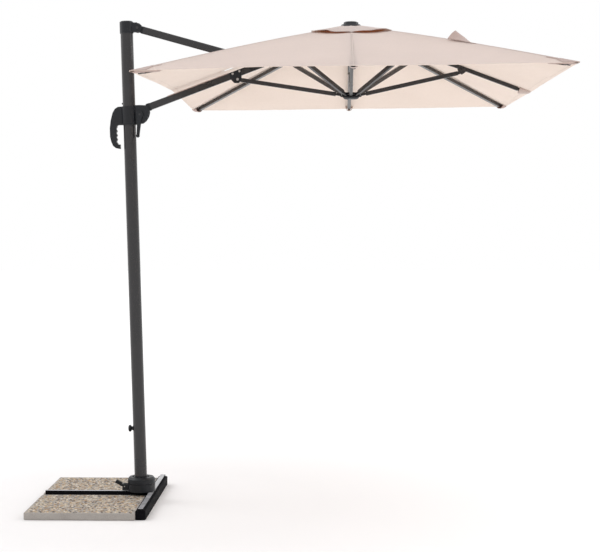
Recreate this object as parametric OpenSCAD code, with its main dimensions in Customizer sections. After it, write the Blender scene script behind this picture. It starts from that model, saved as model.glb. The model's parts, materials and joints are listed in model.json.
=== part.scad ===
// Cantilever parasol: a leaning mast on a weighted base carries a folding arm, and the arm carries
// a rectangular eight-ribbed canopy. Origin: mast axis at ground level. +X runs from the mast
// towards the canopy, +Y along the canopy's long side, +Z up.

/* [Base] */
// Length of one paving slab along X
slab_l = 580; // [400:5:600]
// Width of one paving slab along Y
slab_w = 506; // [400:2:600]
// Thickness of a paving slab
slab_t = 40; // [30:1:50]
// Height of the base rails
rail_h = 59; // [50:1:80]
// Width of the cross rail
rail_w = 52; // [40:1:60]
// Length of the cross rail along Y
cross_rail_l = 1005; // [800:5:1100]
// Width of the stem rail along X
stem_w = 30; // [24:1:50]
// Radius of the swivel collar around the mast's foot
collar_r = 75; // [70:1:90]

/* [Mast] */
// Outer diameter of the mast tube
mast_d = 68; // [50:1:80]
// Wall thickness of the mast tube
mast_wall = 2; // [1.5:0.1:3]
// Length from the ground to the mast's top, along the mast
mast_l = 2626; // [2500:1:2700]
// Lean of the mast away from the canopy, in degrees
mast_lean = 1.55; // [0:0.05:3]

/* [Folding arm] */
// Distance of the two mast-side pivots from the mast's axis
pivot_out = 60; // [56:1:70]
// Height of the upper strut's pivot along the mast
upper_pivot_s = 2588; // [2550:1:2600]
// Height of the arm's pivot along the mast when the parasol is open
arm_pivot_s = 2119; // [2100:1:2150]
// Distance of the strut-to-arm pivot from the mast's axis when open
elbow_out = 680; // [600:1:750]
// Depth of the arm tube
arm_depth = 34; // [28:1:40]
// Depth of the upper strut tube
strut_depth = 39; // [28:1:40]
// Width of the arm tube
arm_w = 22; // [18:1:26]
// Height of the slider on the mast
slider_h = 100; // [80:1:130]

/* [Canopy] */
// Distance of the canopy's centre from the mast's foot
hub_x = 1148; // [1100:1:1200]
// Height of the rib pivots
hub_z = 2560; // [2540:1:2590]
// Canopy size along X
canopy_l = 2000; // [1800:10:2200]
// Canopy size along Y
canopy_w = 3000; // [2600:10:3200]
// Height of the canopy's corner beside the mast, at -Y
eave_near_z = 2221; // [2200:1:2300]
// Height of the corner behind the mast, at +Y
eave_back_z = 2236; // [2200:1:2300]
// Height of the canopy's corners furthest from the mast
eave_far_z = 2256; // [2200:1:2300]
// Side of the square rib tubes
rib_side = 20; // [14:1:24]
// Depth of the strut tubes under the ribs
brace_side = 22; // [12:1:26]
// Height of the runner's pivots
runner_z = 2224; // [2200:1:2260]

/* [Hidden] */
$fn = 48;
running = 0.05;            // radial clearance of a pin in its bore
mast_r = mast_d / 2;
half_gap = stem_w / 2 + 0.5; // half the space between the slabs
slab_x0 = 33 - slab_l;     // edge of the slabs away from the canopy
stem_l = slab_l - 26;
stem_x0 = 33 - stem_l;
pivot_r = 50;              // pivot circle of the hub and of the runner
pin_r = 3;                 // rib and brace pins
elbow_pin_r = 5;
arm_pin_r = 6;
bracket_pin_r = 4;
pedal_pivot = [-92, 0, 84];
lock_z = 82;
knob_s = 405;
arm_brace_pivot = [534, 0, 2309];

// Points in the mast's own plane: out = distance from its axis, s = distance along it.
function in_mast(out, s) = [out * cos(mast_lean) - s * sin(mast_lean), 0,
                            out * sin(mast_lean) + s * cos(mast_lean)];
upper_pivot = in_mast(pivot_out, upper_pivot_s);
arm_pivot = in_mast(pivot_out, arm_pivot_s);
elbow = in_mast(elbow_out, (upper_pivot_s + arm_pivot_s) / 2);
arm_tip_pivot = [hub_x - pivot_r, 0, hub_z - 8];

function rise(a, b) = atan2(b[2] - a[2], b[0] - a[0]);
function along(a, b, angle) = (b[0] - a[0]) * cos(angle) + (b[2] - a[2]) * sin(angle);
function above(a, b, angle) = (b[2] - a[2]) * cos(angle) - (b[0] - a[0]) * sin(angle);
arm_angle = rise(elbow, arm_tip_pivot);
arm_off = above(arm_pivot, elbow, arm_angle);
arm_l = along(arm_pivot, arm_tip_pivot, arm_angle);
elbow_v = along(arm_pivot, elbow, arm_angle);
strut_angle = -15.5;
strut_off = -4;
strut_wall = 1.7;
elbow_u = along(upper_pivot, elbow, strut_angle);
elbow_w = above(upper_pivot, elbow, strut_angle);
strut_end = elbow_u - 115;

// Ribs: azimuth in degrees, plan distance of the tip from the hub, height of the tip
corner_az = atan2(canopy_w, canopy_l);
corner_reach = sqrt(pow(canopy_l / 2, 2) + pow(canopy_w / 2, 2)) - 24;
tip_drop = 9;
rib_short = 45;            // a rib ends this far before its tip, inside the cloth's pocket
RIBS = [
    [0, 970, 2229],
    [corner_az, corner_reach, eave_far_z - tip_drop],
    [90, canopy_w / 2 - 22, 2232],
    [180 - corner_az, corner_reach, eave_back_z - tip_drop],
    [180 + corner_az, corner_reach, eave_near_z - tip_drop],
    [270, canopy_w / 2 - 22, 2232],
    [360 - corner_az, corner_reach, eave_far_z - tip_drop],
];
function rib_dip(i) = atan2(hub_z - RIBS[i][2], RIBS[i][1] - pivot_r);
function rib_length(i) = norm([hub_z - RIBS[i][2], RIBS[i][1] - pivot_r]);

// Every rib's pivot-to-brace distance plus its brace's length is one sum, so all fold shut together.
// The long side's two ribs make isosceles triangles with their braces, so the runner hangs plumb.
hub_to_runner = hub_z - runner_z;
fold_sum = 1144;
plumb_dip = asin(hub_to_runner / fold_sum);
function rib_bow(i) = RIBS[i][0] % 90 == 0 ? 5 : 13;
function brace_drop(i) = RIBS[i][0] % 180 == 90 ? plumb_dip - rib_dip(i) : 1.8;
function brace_dip(i) = rib_dip(i) + brace_drop(i);
function brace_pivot(i) = (pow(fold_sum, 2) - pow(hub_to_runner, 2))
    / (2 * (fold_sum - hub_to_runner * sin(brace_dip(i))));
function brace_length(i) = fold_sum - brace_pivot(i);
function brace_rise(i) = asin((hub_to_runner - brace_pivot(i) * sin(brace_dip(i))) / brace_length(i));

anthracite = [0.23, 0.22, 0.23];
plastic = [0.13, 0.135, 0.15];
steel = [0.7, 0.7, 0.7];
stone = [0.66, 0.63, 0.58];
cloth = [0.89, 0.84, 0.8];

// Frames: each one's +X runs along its tube and its +Z is the tube's upper side.
module mast_frame() { rotate([0, -mast_lean, 0]) children(); }
module strut_frame() { translate(upper_pivot) rotate([0, -strut_angle, 0]) children(); }
module arm_frame() { translate(arm_pivot) rotate([0, -arm_angle, 0]) children(); }
module radial(az, z) { translate([hub_x, 0, z]) rotate([0, 0, az]) translate([pivot_r, 0, 0]) children(); }
module rib_frame(i) { radial(RIBS[i][0], hub_z) rotate([0, rib_dip(i), 0]) children(); }
module brace_frame(i) {
    rib_frame(i) rotate([0, brace_drop(i), 0]) translate([brace_pivot(i), 0, 0])
        rotate([0, 180 - brace_dip(i) - brace_rise(i), 0]) children();
}

// A bar along +X with chamfered edges
module bar(x0, x1, w, h, c) {
    translate([x0, 0, 0]) rotate([90, 0, 90]) linear_extrude(x1 - x0)
        polygon([[-w/2, -h/2 + c], [-w/2 + c, -h/2], [w/2 - c, -h/2], [w/2, -h/2 + c],
                 [w/2, h/2 - c], [w/2 - c, h/2], [-w/2 + c, h/2], [-w/2, h/2 - c]]);
}
module tube(x0, x1, w, h, c, wall) {
    difference() {
        bar(x0, x1, w, h, c);
        bar(x0 - 1, x1 + 1, w - 2 * wall, h - 2 * wall, c / 2);
    }
}
// A cylinder along Y, centred on y
module rod_y(r, l, y = 0) { translate([0, y, 0]) rotate([90, 0, 0]) cylinder(r = r, h = l, center = true); }
// A flat plate in the XZ plane, centred on y
module plate_y(t, y, points) {
    translate([0, y + t / 2, 0]) rotate([90, 0, 0]) linear_extrude(t) polygon(points);
}
// A bolt along Y: a shank and two domed heads
module bolt_y(r, l, head_r) {
    rod_y(r, l);
    for (side = [-1, 1]) rod_y(head_r, 4, side * (l / 2 + 2));
}

// ---- Base ----
// A rail's outline: a body with a lower shoulder on each side of a ridge
module rail_outline(w, shoulder) {
    low = rail_h - 10;
    polygon([[0, 0], [w, 0], [w, low - 3], [w - 3, low], [w - shoulder, low], [w - shoulder - 2, rail_h],
             [shoulder + 2, rail_h], [shoulder, low], [3, low], [0, low - 3]]);
}
rail_wall = 2.5;
module rail_cross() {
    color(anthracite) translate([33, cross_rail_l / 2, 0]) rotate([90, 0, 0])
        linear_extrude(cross_rail_l) difference() {
            rail_outline(rail_w, 11);
            translate([rail_wall, rail_wall]) square([rail_w - 2 * rail_wall, rail_h - 17]);
        }
}
module stem_outline() {
    polygon([[0, 0], [stem_w, 0], [stem_w, rail_h - 3], [stem_w - 3, rail_h], [3, rail_h], [0, rail_h - 3]]);
}
module rail_stem() {
    color(anthracite) translate([stem_x0, -stem_w / 2, 0]) rotate([90, 0, 90])
        linear_extrude(stem_l - 0.3) difference() {
            stem_outline();
            translate([rail_wall, rail_wall]) square([stem_w - 2 * rail_wall, rail_h - 2 * rail_wall]);
        }
}
module rail_end_caps() {
    color(plastic) {
        for (side = [-1, 1]) translate([33, side * (cross_rail_l / 2 + 4.2) + 4, 0]) rotate([90, 0, 0])
            linear_extrude(8) rail_outline(rail_w, 11);
        translate([stem_x0 - 8.2, -stem_w / 2, 0]) rotate([90, 0, 90]) linear_extrude(8) stem_outline();
    }
}
module slab(y0) {
    color(stone) difference() {
        translate([slab_x0, y0, 0]) cube([slab_l - 0.5, slab_w, slab_t]);
        for (y = [y0, y0 + slab_w]) translate([slab_x0 - 1, y, slab_t]) rotate([45, 0, 0])
            translate([0, -2, -2]) cube([slab_l + 2, 4, 4]);
        translate([slab_x0, y0 - 1, slab_t]) rotate([0, 45, 0])
            translate([-2, 0, -2]) cube([4, slab_w + 2, 4]);
    }
}
module slab_front() { slab(-half_gap - 1 - slab_w); }
module slab_back() { slab(half_gap + 1); }
module base_hub() {
    color(plastic) difference() {
        union() {
            translate([0, 0, rail_h]) cylinder(r = collar_r, h = 42);
            for (side = [-1, 1]) translate([pedal_pivot[0] - 12, side * 15.5 - 2.5, 63]) cube([40, 5, 34]);
        }
        translate([0, 0, rail_h - 1]) cylinder(r = 30 + running, h = 50);
        translate([-collar_r - 4, 0, lock_z]) rotate([0, 90, 0]) cylinder(r = 4 + running, h = 70);
        translate(pedal_pivot) rod_y(3, 60);
        for (p = HUB_BOLTS) translate([p[0], p[1], rail_h - 1]) {
            cylinder(r = 4, h = 10);
            translate([0, 0, 9]) cylinder(r = 8, h = 40);
        }
    }
}
HUB_BOLTS = [[-56, -9], [-56, 9], [52, -38], [52, 38]];
module base_fasteners() {
    color(steel) {
        for (p = HUB_BOLTS) translate([p[0], p[1], rail_h - 4]) {
            cylinder(r = 4, h = 12);
            translate([0, 0, 12]) cylinder(r = 7, h = 5, $fn = 6);
        }
        translate(pedal_pivot) rod_y(3, 36);
    }
}
module swivel_bearing() {
    color("white") translate([0, 0, rail_h + 42]) difference() {
        cylinder(r = 44, h = 1.5);
        translate([0, 0, -1]) cylinder(r = 32, h = 4);
    }
}
module lock_pin() {
    color(steel) translate([-74, 0, lock_z]) rotate([0, 90, 0]) cylinder(r = 4, h = 43);
}
module foot_pedal() {
    color(plastic) translate(pedal_pivot) difference() {
        union() {
            rod_y(9, 24);
            rotate([0, 28, 0]) bar(-57, -4, 34, 13, 3);
        }
        rod_y(3 + running, 40);
        for (side = [-1, 1]) translate([-16, side * 15 - 3, -20]) cube([38, 6, 40]);
    }
}
module pedal_pad() {
    color([0.1, 0.1, 0.1]) translate(pedal_pivot) rotate([0, 28, 0]) translate([0, 0, 8.5]) difference() {
        bar(-54, -20, 28, 4, 1);
        for (x = [-50 : 8 : -26]) translate([x, -20, 0.8]) cube([2, 40, 3]);
    }
}

// ---- Mast ----
module swivel_collar() {
    z0 = rail_h + 44;
    color(plastic) difference() {
        union() {
            translate([0, 0, rail_h + 4]) cylinder(r = 30, h = 42);
            translate([0, 0, z0]) cylinder(r = collar_r, h = 24);
            translate([0, 0, z0 + 24]) cylinder(r1 = collar_r, r2 = collar_r - 9, h = 11);
        }
        mast_frame() translate([0, 0, 112]) cylinder(r = mast_r, h = 60);
        mast_frame() translate([0, 0, z0 + 27]) difference() {
            cylinder(r = mast_r + 12, h = 20);
            translate([0, 0, -1]) cylinder(r = mast_r + 6, h = 22);
        }
        for (turn = [0, 90]) rotate([0, 0, turn]) translate([-40, 0, lock_z])
            rotate([0, 90, 0]) cylinder(r = 4.6, h = 80);
    }
}
module mast_tube() {
    color(anthracite) mast_frame() difference() {
        translate([0, 0, 112]) cylinder(r = mast_r, h = mast_l - 24 - 112);
        translate([0, 0, 111]) cylinder(r = mast_r - mast_wall, h = mast_l);
        translate([-mast_r - 5, 0, knob_s]) rotate([0, 90, 0]) cylinder(r = 4 + running, h = 20);
    }
}
module mast_knob_boss() {
    color(plastic) mast_frame() difference() {
        translate([-mast_r - 4, 0, knob_s]) rotate([0, 90, 0]) cylinder(r = 11, h = 12);
        translate([0, 0, knob_s - 20]) cylinder(r = mast_r, h = 40);
        translate([-mast_r - 8, 0, knob_s]) rotate([0, 90, 0]) cylinder(r = 4 + running, h = 20);
    }
}
module mast_knob() {
    color(plastic) mast_frame() translate([-mast_r - 4.4, 0, knob_s]) rotate([0, -90, 0]) {
        translate([0, 0, -10]) cylinder(r = 4, h = 14);
        difference() {
            rotate_extrude() polygon([[0, 0], [9, 0], [11, 3], [18, 8], [19, 12], [17, 18], [10, 21], [0, 22]]);
            for (a = [0 : 45 : 315]) rotate([0, 0, a]) translate([21, 0, 2]) cylinder(r = 4, h = 24);
        }
    }
}
module stop_screw() {
    color(plastic) mast_frame() difference() {
        translate([-mast_r - 5, 0, arm_pivot_s + 62]) rotate([0, 90, 0]) cylinder(r1 = 3, r2 = 6, h = 6);
        translate([0, 0, arm_pivot_s]) cylinder(r = mast_r, h = 100);
    }
}
module mast_top_cap() {
    cap_r = mast_r + 3;
    color(plastic) mast_frame() difference() {
        union() {
            translate([0, 0, mast_l - 66]) cylinder(r = cap_r, h = 61);
            translate([0, 0, mast_l - 5]) cylinder(r1 = cap_r, r2 = cap_r - 7, h = 5);
            translate([0, -20, mast_l - 60]) cube([pivot_out, 40, 50]);
            translate([pivot_out, 0, upper_pivot_s]) rod_y(25, 40);
        }
        translate([0, 0, mast_l - 67]) cylinder(r = mast_r, h = 43);
        translate([cap_r - 1.5, -12.6, mast_l - 80]) cube([90, 25.2, 90]);
        translate([pivot_out, 0, upper_pivot_s]) rod_y(elbow_pin_r, 60);
    }
}
module upper_pivot_pin() {
    color(steel) translate(upper_pivot) bolt_y(elbow_pin_r, 40, 8);
}

// ---- Upper strut ----
module strut_section(x0, x1, extra = 0) {
    translate([0, 0, strut_off]) bar(x0, x1, 24 + extra, strut_depth + extra, 5);
}
module strut_top_fitting() {
    color(plastic) strut_frame() difference() {
        union() {
            rod_y(20, 24);
            translate([0, 0, strut_off]) bar(0, 30, 24, 34, 4);
            strut_section(24, 34);
            translate([0, 0, strut_off]) bar(30, 64, 24 - 2 * strut_wall, strut_depth - 2 * strut_wall, 2.5);
        }
        rod_y(elbow_pin_r + running, 60);
    }
}
module upper_strut() {
    color(anthracite) strut_frame() translate([0, 0, strut_off])
        tube(34, strut_end, 24, strut_depth, 5, strut_wall);
}
module strut_fork() {
    color(plastic) strut_frame() difference() {
        union() {
            difference() {
                strut_section(strut_end - 30, strut_end + 8, 6);
                strut_section(strut_end - 31, strut_end);
            }
            for (side = [-1, 1]) {
                plate_y(4, side * 13.4, [[strut_end + 6, strut_off + 21], [strut_end + 6, strut_off - 21],
                    [elbow_u - 6, elbow_w - 14], [elbow_u + 8, elbow_w + 13]]);
                translate([elbow_u, 0, elbow_w]) rod_y(15, 4, side * 13.4);
            }
        }
        translate([elbow_u, 0, elbow_w]) rod_y(elbow_pin_r, 60);
    }
}
module elbow_pin() {
    color(steel) translate(elbow) bolt_y(elbow_pin_r, 30.8, 8);
}

// ---- Arm ----
// The arm tube's solid shape between two places along it, grown on every side. Its top tapers.
arm_taper = 3.5;
function arm_top(x) = arm_off + arm_depth / 2 + arm_taper * (arm_l - 34 - x) / (arm_l - 84);
module arm_shape(x0, x1, grow) {
    low = arm_off - arm_depth / 2 - grow;
    plate_y(arm_w + 2 * grow, 0, [[x0, low], [x1, low], [x1, arm_top(x1) + grow], [x0, arm_top(x0) + grow]]);
}
module arm_socket() {
    color(plastic) arm_frame() difference() {
        union() {
            rod_y(18, 28);
            plate_y(28, 0, [[-5, 17], [6, -17], [49, arm_off - 18.5], [49, arm_off + 18.5],
                [37, arm_off + 11]]);
            arm_shape(48, 68, 1.5);
        }
        arm_shape(50, 90, 0);
        rod_y(arm_pin_r + running, 60);
    }
}
module arm_tube() {
    color(anthracite) arm_frame() difference() {
        arm_shape(50, arm_l - 34, 0);
        arm_shape(49, arm_l - 33, -1.8);
        translate([elbow_v, 0, arm_off]) rod_y(elbow_pin_r + running, 60);
    }
}
ARM_BOLTS = [[507, 0, 2339], [544, 0, 2353]];
module arm_bracket() {
    color(plastic) difference() {
        for (side = [-1, 1])
            plate_y(4, side * (arm_w / 2 + 2), [[490, 2338], [494, 2312], [514, 2291], [538, 2290],
                [553, 2304], [557, 2368], [545, 2364], [496, 2346]]);
        for (p = ARM_BOLTS) translate(p) rod_y(3.5, 60);
        translate(arm_brace_pivot) rod_y(bracket_pin_r, 60);
    }
}
module bracket_bolts() {
    color(steel) {
        for (p = ARM_BOLTS) translate(p) bolt_y(3.5, arm_w + 8, 6);
        translate(arm_brace_pivot) bolt_y(bracket_pin_r, arm_w + 8, 7);
    }
}
module arm_tip_fitting() {
    color(plastic) arm_frame() difference() {
        union() {
            translate([0, 0, arm_off]) bar(arm_l - 34, arm_l - 20, arm_w, arm_depth, 3);
            translate([0, 0, arm_off]) bar(arm_l - 24, arm_l, 12, 16, 1);
            translate([arm_l, 0, arm_off]) rod_y(8, 12);
        }
        translate([arm_l, 0, arm_off]) rod_y(pin_r + running, 40);
    }
}

// ---- Slider ----
slider_s0 = arm_pivot_s - 54;
module slider_housing() {
    color(plastic) mast_frame() difference() {
        union() {
            translate([0, 0, slider_s0]) cylinder(r = mast_r + 8, h = slider_h);
            translate([0, 0, arm_pivot_s]) plate_y(41.6, 0, [[20, -53], [74, -48], [92, -34], [106, -12],
                [112, 10], [111, 28], [104, 42], [92, 49], [60, 51], [20, 51]]);
        }
        translate([mast_r + 6.5, -14.6, slider_s0 - 10]) cube([120, 29.2, slider_h + 60]);
        translate([-60, -60, slider_s0 + slider_h]) cube([90, 120, 40]);
        translate([0, 0, slider_s0 - 1]) cylinder(r = mast_r + 3.2, h = slider_h + 60);
        translate([pivot_out, 0, arm_pivot_s]) rod_y(arm_pin_r, 80);
    }
}
module slider_liner() {
    color("white") mast_frame() for (s = [slider_s0 + 2, slider_s0 + slider_h - 22])
        translate([0, 0, s]) difference() {
            cylinder(r = mast_r + 3.2, h = 20);
            translate([0, 0, -1]) cylinder(r = mast_r + 0.4, h = 30);
        }
}
module grip_handle() {
    top = slider_s0 + slider_h;
    color(plastic) mast_frame() difference() {
        plate_y(30, 0, [[-34, top], [-60, top - 1], [-77, top - 12], [-90, top - 34], [-101, top - 74],
            [-107, top - 116], [-107, top - 162], [-101, top - 190], [-92, top - 212], [-78, top - 224],
            [-53, top - 230], [-53, top - 205], [-64, top - 206], [-68, top - 192],
            [-68, top - 106], [-62, top - slider_h], [-34, top - slider_h]]);
        for (k = [0 : 3]) translate([-62, 0, top - 120 - 23 * k]) rod_y(10, 40);
        translate([0, 0, slider_s0 - 200]) cylinder(r = mast_r + 8, h = 400);
    }
}
module arm_pivot_pin() {
    color(steel) translate(arm_pivot) {
        rod_y(arm_pin_r, 55, -6.5);
        rod_y(10, 4, 23);
    }
}
module clamp_lever() {
    color(plastic) translate(arm_pivot) difference() {
        union() {
            rod_y(19, 11, -27);
            plate_y(9, -28, [[-13, -10], [12, -13], [-1, -112], [-17, -110]]);
            translate([-10, -28, -116]) sphere(r = 10);
        }
        rod_y(arm_pin_r + running, 60, -10);
    }
}

// ---- Canopy frame ----
// Ears in pairs around a hub or runner, for the tongues of ribs and braces
module ears(z, low, high, gap, az_list) {
    for (az = az_list, side = [-1, 1]) translate([hub_x, 0, z]) rotate([0, 0, az])
        translate([34, side * (gap + 1.8) - 1.8, low]) cube([23, 3.6, high - low]);
}
rib_az = [for (r = RIBS) r[0]];
module pin_holes(z, r, az_list) {
    for (az = az_list) radial(az, z) rod_y(r, 26);
}
module top_hub() {
    color(plastic) difference() {
        union() {
            translate([hub_x, 0, hub_z - 24]) cylinder(r = 36, h = 34);
            translate([hub_x, 0, hub_z + 9]) cylinder(r = 48, h = 3);
            translate([hub_x, 0, hub_z + 9]) cylinder(r = 28, h = 21);
            ears(hub_z, -9, 9.6, 6.4, rib_az);
            ears(hub_z, -18, 4, 6.4, [180]);
        }
        pin_holes(hub_z, pin_r, rib_az);
        pin_holes(hub_z - 8, pin_r, [180]);
    }
}
module hub_pins() {
    color(steel) {
        pin_holes(hub_z, pin_r, rib_az);
        pin_holes(hub_z - 8, pin_r, [180]);
    }
}
module top_cap() {
    z0 = hub_z + 30;
    color(plastic) translate([hub_x, 0, z0]) {
        cylinder(r = 57, h = 5);
        translate([0, 0, 5]) cylinder(r1 = 57, r2 = 50, h = 8);
        translate([0, 0, 13]) cylinder(r = 40, h = 11);
        translate([0, 0, 24]) cylinder(r1 = 40, r2 = 33, h = 4);
    }
}
// A rib's side view from x0 to x1: it bends down slightly where its brace is hung
module rib_profile(i, x0, x1, half) {
    bend = brace_pivot(i);
    bow = rib_bow(i);
    function mid(x) = x < bend ? bow * x / bend : bow * (rib_length(i) - x) / (rib_length(i) - bend);
    plate_y(2 * half, 0, [[x0, mid(x0) - half], [bend, bow - half], [x1, mid(x1) - half],
        [x1, mid(x1) + half], [bend, bow + half], [x0, mid(x0) + half]]);
}
module rib(i) {
    end = rib_length(i) - rib_short;
    tip = rib_bow(i) * rib_short / (rib_length(i) - brace_pivot(i));
    half = rib_side / 2;
    under = rib_bow(i) - half + 2;
    q = [brace_pivot(i) * cos(brace_drop(i)), 0, -brace_pivot(i) * sin(brace_drop(i))];
    color(anthracite) rib_frame(i) {
        difference() {
            union() {
                rod_y(8, 12);
                bar(0, 30, 12, 14, 1);
                bar(24, 34, rib_side - 1, rib_side - 1, 2);
                difference() {
                    rib_profile(i, 28, end - 30, half);
                    rib_profile(i, 34, end - 40, half - 1.2);
                }
                translate([0, 0, tip]) bar(end - 32, end, rib_side - 4, rib_side - 4, 3);
                for (side = [-1, 1]) plate_y(3, side * (half + 1.4), [[q[0] - 26, under],
                    [q[0] - 10, q[2] - 8], [q[0] + 9, q[2] - 8], [q[0] + 26, under]]);
            }
            rod_y(pin_r + running, 40);
        }
        translate(q) rod_y(pin_r, rib_side + 8);
    }
}
module rib_right() { rib(0); }
module rib_back_right() { rib(1); }
module rib_back() { rib(2); }
module rib_back_left() { rib(3); }
module rib_front_left() { rib(4); }
module rib_front() { rib(5); }
module rib_front_right() { rib(6); }

// A brace from its outer pivot, at the origin, to the runner's pivot at x = l
brace_w = 18;
module brace_bar(l, outer_pin_r) {
    tongue_l = 38;
    color(anthracite) difference() {
        union() {
            rod_y(8, 16);
            bar(0, 24, 16, 15, 1);
            bar(18, 30, brace_w, brace_side, 2);
            tube(26, l - tongue_l, brace_w, brace_side, 2, 1);
            bar(l - tongue_l - 4, l - tongue_l + 6, brace_w, brace_side, 2);
            bar(l - tongue_l, l, 12, 13, 1);
            translate([l, 0, 0]) rod_y(7, 12);
        }
        rod_y(outer_pin_r + running, 40);
        translate([l, 0, 0]) rod_y(pin_r + 0.3, 40);
    }
}
module brace(i) { brace_frame(i) brace_bar(brace_length(i), pin_r); }
module brace_right() { brace(0); }
module brace_back_right() { brace(1); }
module brace_back() { brace(2); }
module brace_back_left() { brace(3); }
module brace_front_left() { brace(4); }
module brace_front() { brace(5); }
module brace_front_right() { brace(6); }
module brace_arm() {
    foot = [hub_x - pivot_r, 0, runner_z];
    translate(arm_brace_pivot) rotate([0, -rise(arm_brace_pivot, foot), 0])
        brace_bar(norm(foot - arm_brace_pivot), bracket_pin_r);
}
brace_az = concat(rib_az, [180]);
module runner() {
    color(plastic) difference() {
        union() {
            translate([hub_x, 0, runner_z - 13]) cylinder(r = 36, h = 26);
            translate([hub_x, 0, runner_z - 15]) cylinder(r = 44, h = 4);
            translate([hub_x, 0, runner_z - 22]) cylinder(r1 = 34, r2 = 44, h = 7);
            ears(runner_z, -10, 9, 6.4, brace_az);
        }
        pin_holes(runner_z, pin_r, brace_az);
        for (az = [0, 180]) translate([hub_x, 0, runner_z - 30]) rotate([0, 0, az])
            translate([14, -6.4, 0]) cube([50, 12.8, 60]);
    }
}
// Short rivets in the ears, which leave the gap between each pair of ears free
module runner_rivets() {
    color(steel) for (az = brace_az, side = [-1, 1])
        radial(az, runner_z) rod_y(pin_r, 5.4, side * 9.3);
}

// ---- Cloth ----
// Rim points of the canopy: corners and mid-edges lie on ribs, the points between pull in a little.
pull_in = 14;
hx = canopy_l / 2;
hy = canopy_w / 2;
far_mid_z = 2238;
near_mid_z = 2250;
long_mid_z = 2243;
RIM = [[hx - 26, 0, far_mid_z], [hx - pull_in, hy / 2, eave_far_z - 8], [hx, hy, eave_far_z],
    [hx / 2, hy - pull_in, long_mid_z + 5], [0, hy - 8, long_mid_z], [-hx / 2, hy - pull_in, long_mid_z - 6],
    [-hx, hy, eave_back_z], [pull_in - hx, hy / 2, eave_back_z + 9], [26 - hx, 0, near_mid_z],
    [pull_in - hx, -hy / 2, eave_near_z + 16], [-hx, -hy, eave_near_z], [-hx / 2, pull_in - hy, long_mid_z - 6],
    [0, 8 - hy, long_mid_z], [hx / 2, pull_in - hy, long_mid_z + 5], [hx, -hy, eave_far_z],
    [hx - pull_in, -hy / 2, eave_far_z - 8]];
apex_z = hub_z + 30;
cloth_t = 1.5;
bulge = 13;                // rise of the cloth above a straight line from apex to rim
bulge_at = 0.36;
// A closed sheet of one thickness through rings of points. Each ring is a share of the rim and a
// lift above the straight line from the apex to the rim; the first ring is the outermost.
module sheet(rings, t) {
    n = len(RIM);
    m = len(rings);
    under = n * m;
    function ring(k, lift) = [for (p = RIM) [hub_x + p[0] * k, p[1] * k, apex_z + (p[2] - apex_z) * k + lift]];
    polyhedron(
        points = concat([for (r = rings) each ring(r[0], r[1])], [for (r = rings) each ring(r[0], r[1] - t)]),
        faces = concat(
            [for (r = [0 : m - 2], i = [0 : n - 1]) let (j = (i + 1) % n, a = r * n, b = a + n)
                each [[a + i, b + i, b + j], [a + i, b + j, a + j]]],
            [for (r = [0 : m - 2], i = [0 : n - 1]) let (j = (i + 1) % n, a = under + r * n, b = a + n)
                each [[a + i, b + j, b + i], [a + i, a + j, b + j]]],
            [for (i = [0 : n - 1]) let (j = (i + 1) % n) each [[i, j, under + j], [i, under + j, under + i]]],
            [for (i = [0 : n - 1]) let (j = (i + 1) % n, a = under - n, b = 2 * under - n)
                each [[a + i, b + j, a + j], [a + i, b + i, b + j]]]));
}
module canopy() {
    color(cloth) difference() {
        sheet([[1, 2], [bulge_at, 2 + bulge], [0.1, 6]], cloth_t);
        translate([elbow[0] - 140, -21, elbow[2] - 130]) cube([180, 42, 200]);
    }
}
module vent_top() { color(cloth) sheet([[0.218, 14], [0.04, 12]], cloth_t); }
strap_at = 0.473;          // place of the strap's free end between the apex and the corner
strap_l = 230;
strap_w = 60;
module closure_strap() {
    fall = atan((apex_z - eave_far_z + bulge) / norm([hx, hy]));
    color(cloth) translate([hub_x + hx * strap_at, -hy * strap_at,
            apex_z - (apex_z - eave_far_z) * strap_at + bulge + 2])
        rotate([0, 0, -corner_az]) rotate([0, fall, 0]) rotate([22, 0, 0]) cube([strap_l, strap_w, 2]);
}

rail_cross();
rail_stem();
rail_end_caps();
slab_front();
slab_back();
base_hub();
base_fasteners();
swivel_bearing();
lock_pin();
foot_pedal();
pedal_pad();
swivel_collar();
mast_tube();
mast_knob_boss();
mast_knob();
stop_screw();
mast_top_cap();
upper_pivot_pin();
strut_top_fitting();
upper_strut();
strut_fork();
elbow_pin();
arm_socket();
arm_tube();
arm_bracket();
bracket_bolts();
arm_tip_fitting();
slider_housing();
slider_liner();
grip_handle();
arm_pivot_pin();
clamp_lever();
top_hub();
hub_pins();
top_cap();
vent_top();
canopy();
closure_strap();
rib_right();
rib_back_right();
rib_back();
rib_back_left();
rib_front_left();
rib_front();
rib_front_right();
brace_right();
brace_back_right();
brace_back();
brace_back_left();
brace_front_left();
brace_front();
brace_front_right();
brace_arm();
runner();
runner_rivets();
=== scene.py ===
"""Looks of a cantilever parasol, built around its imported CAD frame. Units are metres, +Z up."""
import json
import math

import bpy
import numpy as np
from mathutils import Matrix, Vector, noise


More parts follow.
